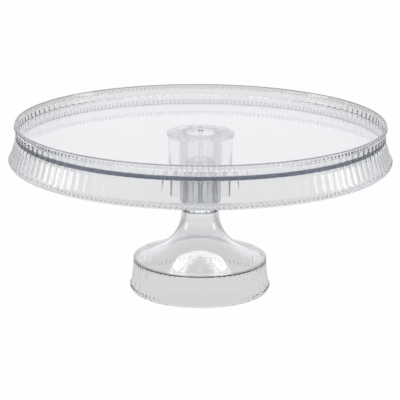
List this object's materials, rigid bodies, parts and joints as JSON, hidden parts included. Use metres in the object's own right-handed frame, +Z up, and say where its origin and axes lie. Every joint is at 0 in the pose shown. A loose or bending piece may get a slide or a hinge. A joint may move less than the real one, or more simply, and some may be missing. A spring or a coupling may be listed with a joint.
{
  "type": "cake stand",
  "caption": "Round clear plastic cake stand: a flat plate with a beaded rim and flared fluted skirt, on a column that slips onto a hollow flared pedestal.",
  "frame": {"origin": "centre of the foot's rim, on the surface the stand rests on", "axes": "+Z up along the stand's axis; the first gusset of the column lies on +X"},
  "size_m": [0.305, 0.305, 0.1386],
  "materials": {
    "clear_plastic": "clear, high gloss, injection moulded"
  },
  "bodies": {
    "pedestal": {"pedestal_foot": "clear_plastic"},
    "column": {"centre_column": "clear_plastic"},
    "plate": {"cake_plate": "clear_plastic"}
  },
  "joints": [
    {"name": "column_lift", "type": "slide", "parent": "pedestal", "child": "column", "axis": [0, 0, 1], "range_m": [0, 0.06]},
    {"name": "plate_twist", "type": "hinge", "parent": "column", "child": "plate", "pos_m": [0, 0, 0.1265], "axis": [0, 0, 1], "range_deg": [0, 30]}
  ]
}
